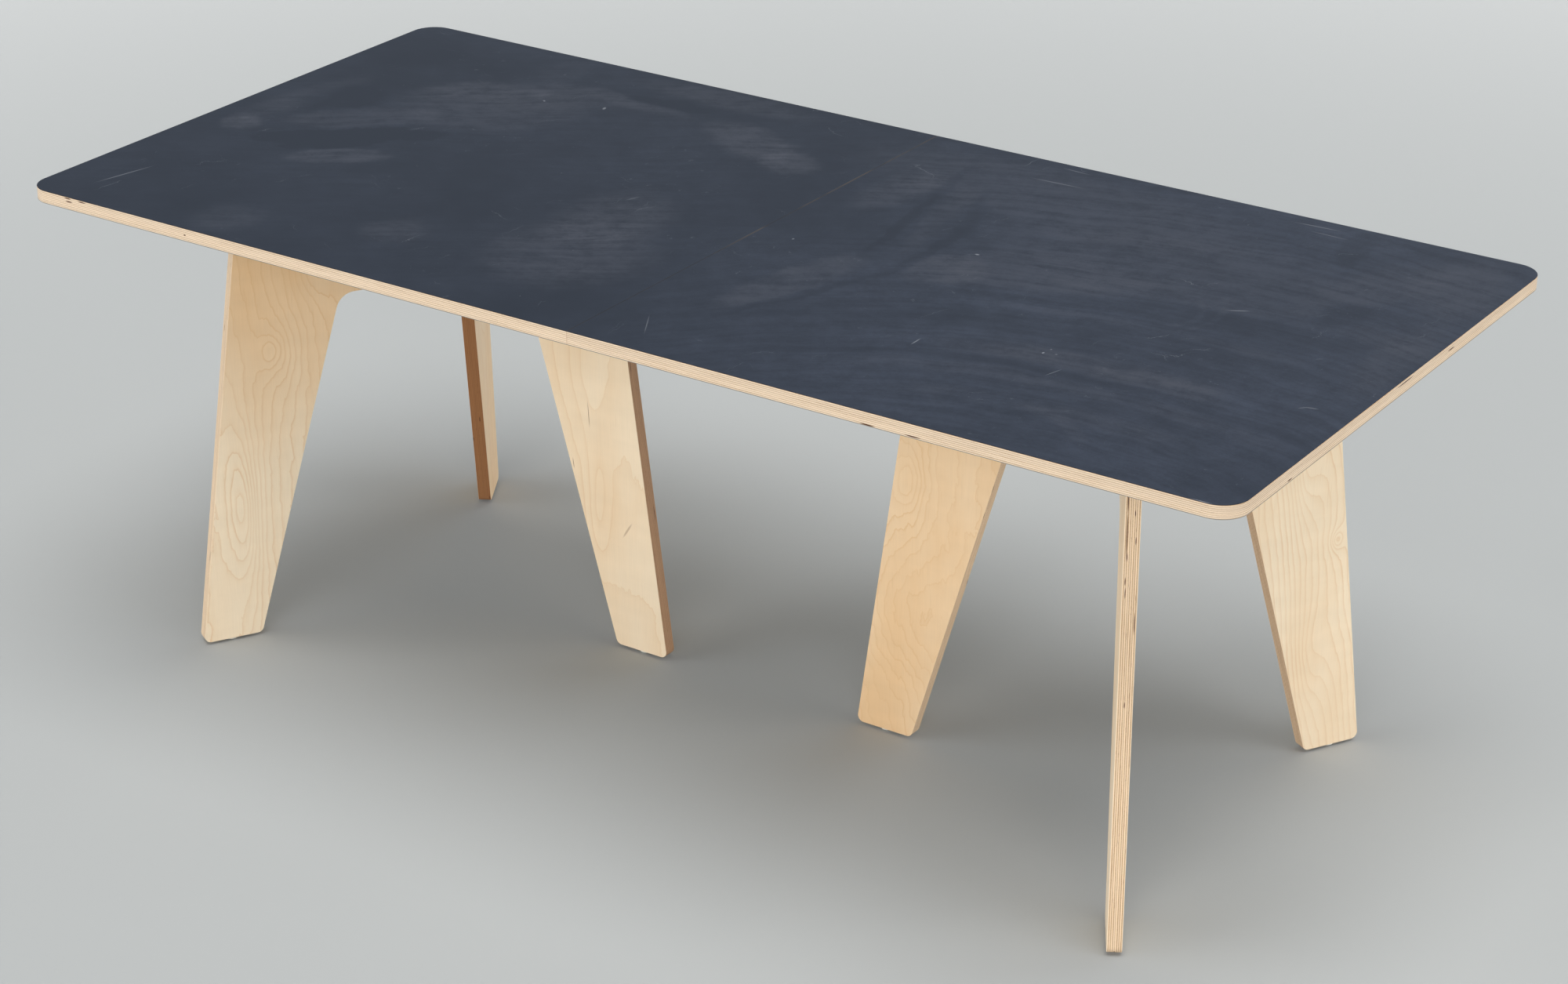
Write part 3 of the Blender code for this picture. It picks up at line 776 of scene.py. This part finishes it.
def face_veneer(shader, board, figure):
    """The colour of a board's faces, with growth rings and cracks where it has a figure."""
    side = shader.math("GREATER_THAN", board.depth, 0.0)
    upward, inward = shader.scaled(board.along, 0.35), shader.scaled(side, 3.0)
    cloud_place = shader.joined(board.across, upward, inward)
    cloud = shader.noise(cloud_place, 9.0, detail=3.0, seed=board.seed)
    warm = shader.ramp(cloud, 0.3, 0.7)
    if figure:
        # Painted shade: the veneer turns darker and more tan with height, as under the tabletop,
        # and each panel's pair of values also sets its own tone
        shade_by_height = shader.ramp(board.along, *SHADE_HEIGHTS, *figure["warm"])
        warm = shader.sum(shader.scaled(warm, 0.28), shade_by_height)
    veneer = shader.mix(warm, VENEER_PALE, VENEER_WARM)
    curl_place = shader.moved(board.flat, scale=(9.0, 38.0, 1.0))
    curl = shader.noise(curl_place, seed=board.seed + SEEDS["curl"])
    veneer = shader.shade(veneer, shader.ramp(curl, 0.2, 0.8, 0.965, 1.035, "LINEAR"))
    if figure:
        skin = shader.math("GREATER_THAN", shader.math("ABSOLUTE", board.depth), board.skin_depth)
        line, band = ring_lines(shader, board, figure)
        fade_place = shader.moved(board.flat, scale=(1.0, 0.5, 1.0))
        fade = shader.noise(fade_place, 16.0, seed=board.seed + SEEDS["fade"])
        fade = shader.scaled(shader.ramp(fade, 0.3, 0.7, 0.12, 0.50), figure["lines"])
        veneer = shader.mix(shader.times(band, 0.22, skin), veneer, RING_BAND)
        veneer = shader.mix(shader.times(line, fade, skin), veneer, RING_LINE)
        for r, z, half_width, half_length, lean, strength in figure["cracks"]:
            half_sizes = (half_width, half_length, 1.0)
            crack = shader.spot(board.flat, (r, z, 0), half_sizes, lean, softness=0.4)
            veneer = shader.mix(shader.times(crack, strength, skin), veneer, CRACK)
    fleck_place = shader.moved(board.fibre_place, scale=(0.5, 0.5, 0.8))
    flecks = shader.noise(fleck_place, detail=1.0, seed=board.seed + SEEDS["fleck"])
    return shader.mix(shader.ramp(flecks, 0.66, 0.8, 0.0, 0.2), veneer, FLECK)


def cut_plies(shader, board, tones):
    """The colour of a board's bare edges, where plies cut across their grain are darker."""
    along_grain, palest, darkest = tones
    across_grain = shader.mix(shader.ramp(board.fibres, 0.3, 0.7), darkest, palest)
    share = shader.times(board.on_end, shader.ramp(board.drift, 0.3, 0.7, 0.62, 1.0))
    return shader.mix(share, along_grain, across_grain)


def broken_lines(shader, board, near):
    """1 where the line between two plies is dark. near is how near that line is, in plies."""
    seam = shader.math("FLOOR", shader.sum(board.ply, board.share, 0.5))
    place = board.by_layer(shader, seam, scale=60.0, step=7.1)
    dashes = shader.noise(place, roughness=0.6, seed=board.seed + SEEDS["dash"])
    return shader.times(
        shader.ramp(dashes, 0.60, 0.70), shader.ramp(near, *DASH_FADE), board.on_edge
    )


def open_pits(shader, board, near, gaps):
    """1 in the pits of a board's crossed plies and in the given gaps."""
    place = board.by_layer(shader, board.ply, scale=26.0, step=3.7)
    pits = shader.noise(place, detail=1.0, seed=board.seed + SEEDS["pit"])
    pits = shader.times(
        shader.ramp(pits, 0.78, 0.80), board.on_edge, board.crossed, shader.ramp(near, *PIT_FADE)
    )
    for gap in gaps:
        pit = shader.spot(board.solid, gap[:3], gap[3:], turn=0.0, softness=0.4)
        pits = shader.math("MAXIMUM", pits, pit)
    return pits


def plywood(name, frame, thickness, plies, seed, tones, dash, gaps, figure=None):
    """Birch plywood. tones are those of its cut edges, dash is how dark the broken lines
    between its plies are, and gaps are pits in its edges, as middles and half sizes."""
    shader = Shader(name)
    board = Board(shader, frame, thickness, plies, seed)
    edge = cut_plies(shader, board, tones)
    if figure:
        edge = shader.mix(figure["even"], edge, EVEN_PLIES)
    veneer = face_veneer(shader, board, figure)
    wood = shader.mix(shader.ramp(board.on_edge, 0.3, 0.8), veneer, edge)
    tone = shader.scaled(shader.chance(shader.sum(board.ply, seed)), 1.0, -0.5)
    wood = shader.shade(wood, shader.scaled(shader.times(tone, board.on_edge), 0.16, 1.0))
    wood = shader.shade(wood, shader.ramp(board.fibres, 0.25, 0.75, 0.972, 1.028, "LINEAR"))

    near = shader.math("MINIMUM", board.share, shader.rest(board.share))
    glue = shader.times(shader.ramp(near, *GLUE_FADE), board.on_edge)
    glue_tone = shader.ramp(board.drift, 0.35, 0.65, 0.20, 0.70)
    wood = shader.mix(shader.times(glue, glue_tone), wood, GLUE_LINE)
    wood = shader.mix(shader.times(broken_lines(shader, board, near), dash), wood, DASH)
    # Painted shade: the cut edges of some legs are tinted darker and browner, as they look in shade
    # under the tabletop
    if figure:
        shaded_edges = shader.vector("MULTIPLY", wood, hue(EDGE_SHADE_TINT)[:3])
        wood = shader.mix(shader.times(board.on_edge, figure["brown"]), wood, shaded_edges)
    pits = open_pits(shader, board, near, gaps)
    # Painted shade: the open pits are coloured dark brown for the shade inside these voids
    shader.set(base_color=shader.mix(pits, wood, PIT_SHADE), specular_ior_level=WOOD_SPECULAR)
    rough = shader.ramp(board.fibres, 0.3, 0.7, 0.46, 0.54)
    shader.set(roughness=shader.sum(rough, shader.scaled(board.on_end, 0.16)))
    relief = shader.sum(
        shader.scaled(board.fibres, 0.2),
        shader.scaled(glue, -0.3),
        shader.scaled(pits, -3.0),
        shader.scaled(board.on_end, -0.2),
    )
    shader.bump(relief, *WOOD_RELIEF)
    return shader.material


def wiping_streaks(shader, warped, x):
    """The fine streaks that wiping left."""
    away = shader.moved(warped, location=(-ELBOW[0], -ELBOW[1], 0))
    ax, ay, _ = shader.split(away)
    angle = shader.math("ARCTAN2", ay, ax)
    turned = shader.joined(shader.scaled(shader.length(away), 60.0), shader.scaled(angle, 3.0))
    turned = shader.ramp(shader.noise(turned, detail=4.0, roughness=0.65), 0.34, 0.66)
    straight = shader.lined(warped, STREAK_TURN, along=6.0, across=70.0)
    straight = shader.ramp(shader.noise(straight, detail=4.0, roughness=0.65), 0.34, 0.66)
    on_right = shader.ramp(x, *STREAK_CHANGE)
    return shader.sum(
        shader.times(turned, on_right), shader.times(straight, shader.rest(on_right))
    )


def arc(shader, flat, cx, cy, radius, half_width, first, last):
    """1 along a stroke that curves round a middle and 0 off it. first and last are degrees."""
    away = shader.moved(flat, location=(-cx, -cy, 0))
    off = shader.math("ABSOLUTE", shader.scaled(shader.length(away), 1.0, -radius))
    across = shader.ramp(off, 1.5 * half_width, 0.4 * half_width)
    middle, reach = math.radians((first + last) / 2), math.radians(abs(last - first) / 2)
    if last < first:
        middle, reach = middle + math.pi, math.pi - reach
    heading = shader.joined(math.cos(middle), math.sin(middle))
    lean = shader.math("ARCCOSINE", shader.dot(shader.vector("NORMALIZE", away), heading))
    return shader.times(across, shader.ramp(lean, reach + 0.08, reach - 0.08))


def smudges(shader, flat, warped, ragged):
    """All wipe marks and strokes at a point: above zero paler than the sheet, below darker."""
    level = 0.0
    for mx, my, half_x, half_y, turn, strength, softness in WIPES:
        mask = shader.spot(ragged, (mx, my, 0), (half_x, half_y, 1.0), turn, 0.75 * softness)
        level = shader.math("MULTIPLY_ADD", mask, strength, level)
    worn_off = shader.ramp(shader.noise(flat, 7.0, detail=4.0, roughness=0.6), 0.32, 0.60)
    for *stroke, strength in STROKES:
        mask = shader.times(arc(shader, warped, *stroke), worn_off)
        level = shader.math("MULTIPLY_ADD", mask, strength, level)
    return level


def scuffed(shader, colour, flat, ragged):
    """A sheet's colour with its dabs, scratches, dust and hairline scratches."""
    dabs = shader.ramp(shader.noise(ragged, 60.0, detail=5.0, roughness=0.7), 0.62, 0.74)
    dabs = shader.times(dabs, shader.ramp(shader.noise(flat, 4.0), 0.50, 0.62))
    colour = shader.mix(shader.scaled(dabs, 0.55), colour, DAB)
    for mx, my, half_x, half_y, turn, strength in SCRATCHES:
        mask = shader.spot(flat, (mx, my, 0), (half_x, half_y, 1.0), turn, softness=0.5)
        colour = shader.mix(shader.scaled(mask, strength), colour, SCRATCH)
    cells = shader.node("ShaderNodeTexVoronoi", {"Vector": flat, "Scale": 16.0})
    rare = shader.math("GREATER_THAN", shader.split(cells.outputs["Color"])[0], 0.72)
    dust = shader.times(shader.ramp(cells.outputs["Distance"], 0.018, 0.008), rare)
    colour = shader.mix(shader.scaled(dust, 0.4), colour, DUST)
    for turn, seed in HAIRLINES:
        hairs = shader.lined(ragged, turn, along=9.0, across=330.0)
        hairs = shader.noise(hairs, detail=1.0, seed=seed)
        some = shader.ramp(shader.noise(flat, 5.0, seed=seed), 0.50, 0.62)
        hairs = shader.times(shader.ramp(hairs, 0.70, 0.76), some)
        colour = shader.mix(shader.scaled(hairs, 0.38), colour, HAIRLINE)
    return colour


def dark_laminate(top):
    """The matt dark sheet, with wipe marks, scratches, dust and a paler worn seam."""
    shader = Shader("dark_laminate")
    place = shader.place()
    x, y, z = shader.split(place)
    flat = shader.joined(x, y)
    warped = shader.warped(flat, scale=5.0, detail=2.0, reach=0.05)
    ragged = shader.warped(warped, scale=30.0, detail=5.0, reach=0.035)

    # Haze, partly painted sheen, is wiped off where the level is below zero, and smudges lie where
    # it's above
    streaks = wiping_streaks(shader, warped, x)
    mottle = shader.ramp(shader.noise(flat, 26.0, detail=6.0, roughness=0.72), 0.32, 0.68)
    fine = shader.ramp(shader.noise(flat, 120.0, detail=4.0, roughness=0.7), 0.3, 0.7)
    fine = shader.scaled(fine, 0.30)
    even = shader.sum(shader.scaled(streaks, 0.50, 0.22), shader.scaled(mottle, 0.50), fine)
    torn = shader.sum(shader.scaled(streaks, 0.85, -0.10), shader.scaled(mottle, 0.85), fine)
    level = smudges(shader, flat, warped, ragged)
    # Painted sheen: the sheet turns paler towards +X, together with the haze
    haze_and_sheen = shader.scaled(shader.ramp(x, *SHEEN_AND_HAZE_CHANGE), 0.34, 0.10)
    cloud = shader.noise(flat, 3.2, detail=4.0, roughness=0.6)
    haze_and_sheen = shader.sum(haze_and_sheen, shader.scaled(cloud, 0.8, -0.36))
    haze_and_sheen = shader.sum(haze_and_sheen, shader.math("MINIMUM", level, 0.0))
    haze_and_sheen = shader.times(shader.math("MAXIMUM", haze_and_sheen, 0.0), even)
    level = shader.times(shader.math("MAXIMUM", level, 0.0), shader.math("MAXIMUM", torn, 0.0))
    colour = shader.mix(shader.math("MINIMUM", haze_and_sheen, 1.0), SHEET_CLEAN, SHEET_HAZE_AND_SHEEN)
    colour = shader.mix(shader.math("MINIMUM", level, 1.0), colour, SMUDGE)
    colour = scuffed(shader, colour, flat, ragged)

    worn = shader.times(
        shader.ramp(shader.math("ABSOLUTE", x), *WEAR_WIDTH),
        shader.ramp(shader.noise(shader.joined(0.0, y), 7.0, detail=3.0), 0.40, 0.62),
        shader.ramp(y, *WEAR_CHANGE, 0.12, 1.0),
    )
    colour = shader.mix(shader.scaled(worn, 0.5), colour, WORN_SEAM)
    rim = shader.math("LESS_THAN", z, top - SHEET_RIM_DROP)
    colour = shader.mix(rim, colour, SHEET_RIM)
    speckle = shader.noise(flat, 420.0, detail=3.0, roughness=0.7)
    speckle = shader.ramp(speckle, 0.25, 0.75, 0.93, 1.07, "LINEAR")
    shader.set(base_color=shader.shade(colour, speckle), specular_ior_level=SHEET_SPECULAR)
    shader.set(roughness=shader.ramp(shader.sum(haze_and_sheen, level), 0.0, 1.5, *SHEET_ROUGHNESS))
    shader.bump(shader.noise(place, 1100.0), *SHEET_RELIEF)
    return shader.material


def grey_backing():
    shader = Shader("grey_backing")
    place = shader.place()
    cloud = shader.noise(place, 6.0, detail=4.0)
    shader.set(base_color=shader.mix(cloud, *BACKING_TONES))
    shader.set(roughness=shader.ramp(cloud, 0.3, 0.7, 0.55, 0.68))
    shader.bump(shader.noise(place, 900.0), strength=0.1, distance=0.0002)
    return shader.material


def solid_birch():
    shader = Shader("solid_birch")
    place = shader.place()
    fibres = shader.noise(shader.moved(place, scale=(500, 500, 14)), detail=3.0, roughness=0.6)
    colour = shader.mix(shader.noise(place, 18.0), *POST_TONES)
    shader.set(base_color=shader.shade(colour, shader.ramp(fibres, 0.3, 0.7, 0.93, 1.04)))
    shader.set(roughness=shader.ramp(fibres, 0.3, 0.7, 0.46, 0.58))
    shader.bump(fibres, strength=0.2, distance=0.0003)
    return shader.material


def plated(name, tones, metallic, roughness, patch_scale):
    """Plated steel, with patches that differ a little in tone and in gloss."""
    shader = Shader(name)
    place = shader.place()
    patches = shader.noise(place, patch_scale, detail=4.0, roughness=0.6)
    brushed = shader.moved(place, rotation=(0.4, 0.2, 0.9), scale=(1800, 60, 60))
    scratches = shader.noise(brushed)
    shader.set(base_color=shader.mix(patches, *tones), metallic=metallic)
    wear = shader.sum(shader.scaled(patches, 0.16), shader.scaled(scratches, 0.10))
    shader.set(roughness=shader.sum(wear, roughness))
    shader.bump(shader.sum(patches, scratches), strength=0.06, distance=0.0002)
    return shader.material


def dress(node, material):
    for slot in node.material_slots:
        slot.material = material


def dress_by_kind(nodes):
    """Gives every node that isn't plywood its finish."""
    zinc = plated("zinc_plated_steel", ZINC_TONES, metallic=1.0, roughness=0.26, patch_scale=70.0)
    by_start = {
        "backing_": grey_backing(),
        "hub_": solid_birch(),
        "bracket_": zinc,
        "link_": zinc,
        "glide_": plated(
            "nickel_plated_steel", NICKEL_TONES, metallic=0.85, roughness=0.20, patch_scale=120.0
        ),
        "top_sheet_": dark_laminate(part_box("top_sheet_left")[1].z),
    }
    for name in nodes:
        for start, material in by_start.items():
            if name.startswith(start):
                dress(nodes[name], material)


def leg_frame(base, degrees):
    """A leg panel's frame: across is the distance from the base's axis, and along is Z."""
    angle = math.radians(degrees)
    outward = (math.cos(angle), math.sin(angle), 0.0)
    square = (-math.sin(angle), math.cos(angle), 0.0)
    return (base * BASE_OFFSET, 0.0, 0.0), (outward, square, (0.0, 0.0, 1.0))


def leg_bores(layout, places):
    """1 in the holes of a leg panel."""
    inside = 0.0
    for r, z, reach in LEG_BORES:
        away = layout.joined(layout.sum(places[0], -r), layout.sum(places[2], -z))
        near = layout.math("LESS_THAN", layout.length(away), reach)
        inside = layout.math("MAXIMUM", near, inside)
    return inside


def dress_legs(nodes):
    half = PANEL_THICKNESS / 2
    for number, (name, (base, degrees)) in enumerate(LEG_PANELS.items(), FIRST_LEG):
        frame = leg_frame(base, degrees)
        seed = SEED_STEP * number
        figure = FIGURES[name]
        gaps = [(r, t, z, PIT_REACH, LEG_PIT_HALF, length) for r, t, z, length in figure["gaps"]]
        board = (frame, PANEL_THICKNESS, PANEL_PLIES, seed, LEG_EDGES, LEG_DASH)
        dress(nodes[name], plywood("birch_" + name, *board, gaps, figure))
        spans = ((0.0, FOOT_RADIUS), (-half, half), (0.0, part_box(name)[1].z))
        lay_out(nodes[name], frame, spans, LEG_ROOMS, leg_bores)


def plate_frame(low, high):
    """The frame of a plate of the top: across is Y, and along is X."""
    return (0.0, 0.0, (low.z + high.z) / 2), ((0.0, 1.0, 0.0), (0.0, 0.0, 1.0), (1.0, 0.0, 0.0))


def plate_bores(low, high):
    """For a plate of the top, 1 away from its outline, where its screw holes are."""

    def bored(layout, places):
        inside = 1.0
        for place, axis in ((places[2], 0), (places[0], 1)):
            past = layout.math("GREATER_THAN", place, low[axis] + BORE_CLEARANCE)
            short = layout.math("LESS_THAN", place, high[axis] - BORE_CLEARANCE)
            inside = layout.times(past, short, inside)
        return inside

    return bored


def dress_tops(nodes):
    """Maps both cores and both sheets, and gives the cores their plywood."""
    gaps = [(y, z, x, half_y, CORE_PIT_HALF, half_x) for y, z, x, half_y, half_x in CORE_GAPS]
    for number, side in enumerate(("left", "right"), FIRST_CORE):
        for kind, rooms in (("top_core_", CORE_ROOMS), ("top_sheet_", SHEET_ROOMS)):
            name = kind + side
            low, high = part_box(name)
            frame = plate_frame(low, high)
            half = (high.z - low.z) / 2
            spans = ((low.y, high.y), (-half, half), (low.x, high.x))
            lay_out(nodes[name], frame, spans, rooms, plate_bores(low, high))
            if kind == "top_core_":
                seed = SEED_STEP * number
                board = (frame, CORE_THICKNESS, CORE_PLIES, seed, CORE_EDGES, CORE_DASH)
                dress(nodes[name], plywood("birch_" + name, *board, gaps))


def set_camera():
    camera = bpy.data.cameras.new("photograph")
    camera.lens, camera.sensor_width = CAMERA_LENS, SENSOR_WIDTH
    camera.clip_start, camera.clip_end = CAMERA_CLIP
    holder = bpy.data.objects.new("photograph", camera)
    bpy.context.scene.collection.objects.link(holder)
    level, drop = math.cos(CAMERA_PITCH), -math.sin(CAMERA_PITCH)
    x, y = math.cos(CAMERA_HEADING), math.sin(CAMERA_HEADING)
    forward = Vector((x * level, y * level, drop))
    flat_right = Vector((y, -x, 0.0))
    flat_up = flat_right.cross(forward)
    right = math.cos(CAMERA_ROLL) * flat_right + math.sin(CAMERA_ROLL) * flat_up
    up = math.cos(CAMERA_ROLL) * flat_up - math.sin(CAMERA_ROLL) * flat_right
    turn = Matrix((right, up, -forward)).transposed()
    holder.matrix_world = Matrix.Translation(CAMERA_PLACE) @ turn.to_4x4()
    bpy.context.scene.camera = holder


def set_floor():
    side = FLOOR_HALF_SIDE
    mesh = bpy.data.meshes.new("floor")
    corners = [(-side, -side, 0), (side, -side, 0), (side, side, 0), (-side, side, 0)]
    mesh.from_pydata(corners, [], [(0, 1, 2, 3)])
    floor = bpy.data.objects.new("floor", mesh)
    bpy.context.scene.collection.objects.link(floor)
    shader = Shader("studio_floor")
    away = shader.ramp(shader.length(shader.place()), *FLOOR_REACH)
    shader.set(base_color=shader.mix(away, *FLOOR_TONES), roughness=0.8, specular_ior_level=0.05)
    mesh.materials.append(shader.material)


def set_world():
    world = bpy.data.worlds.new("studio")
    world.use_nodes = True
    dome = Maker(world.node_tree)
    light = dome.node("ShaderNodeBackground", {"Color": "ffffff", "Strength": DOME_STRENGTH})
    backdrop = dome.node("ShaderNodeBackground", {"Color": BACKDROP, "Strength": 1.0})
    rays = dome.node("ShaderNodeLightPath").outputs
    seen = dome.math("MAXIMUM", rays["Is Camera Ray"], rays["Is Glossy Ray"])
    seen = dome.math("MAXIMUM", seen, rays["Is Transmission Ray"])
    shown = {0: seen, 1: light.outputs[0], 2: backdrop.outputs[0]}
    mixed = dome.node("ShaderNodeMixShader", shown)
    dome.node("ShaderNodeOutputWorld", {"Surface": mixed.outputs[0]})
    bpy.context.scene.world = world


def add_sun(name, strength, spread, azimuth, elevation):
    lamp = bpy.data.lights.new(name, "SUN")
    lamp.energy, lamp.angle = strength, math.radians(spread)
    holder = bpy.data.objects.new(name, lamp)
    bpy.context.scene.collection.objects.link(holder)
    a, e = math.radians(azimuth), math.radians(elevation)
    towards = Vector((math.cos(a) * math.cos(e), math.sin(a) * math.cos(e), math.sin(e)))
    holder.rotation_mode = "QUATERNION"
    holder.rotation_quaternion = towards.to_track_quat("Z", "Y")


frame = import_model()
set_camera()
set_floor()
set_world()
for lamp in LAMPS:
    add_sun(*lamp)
dress_by_kind(frame["nodes"])
dress_legs(frame["nodes"])
dress_tops(frame["nodes"])
bpy.context.scene.view_settings.view_transform = "Standard"
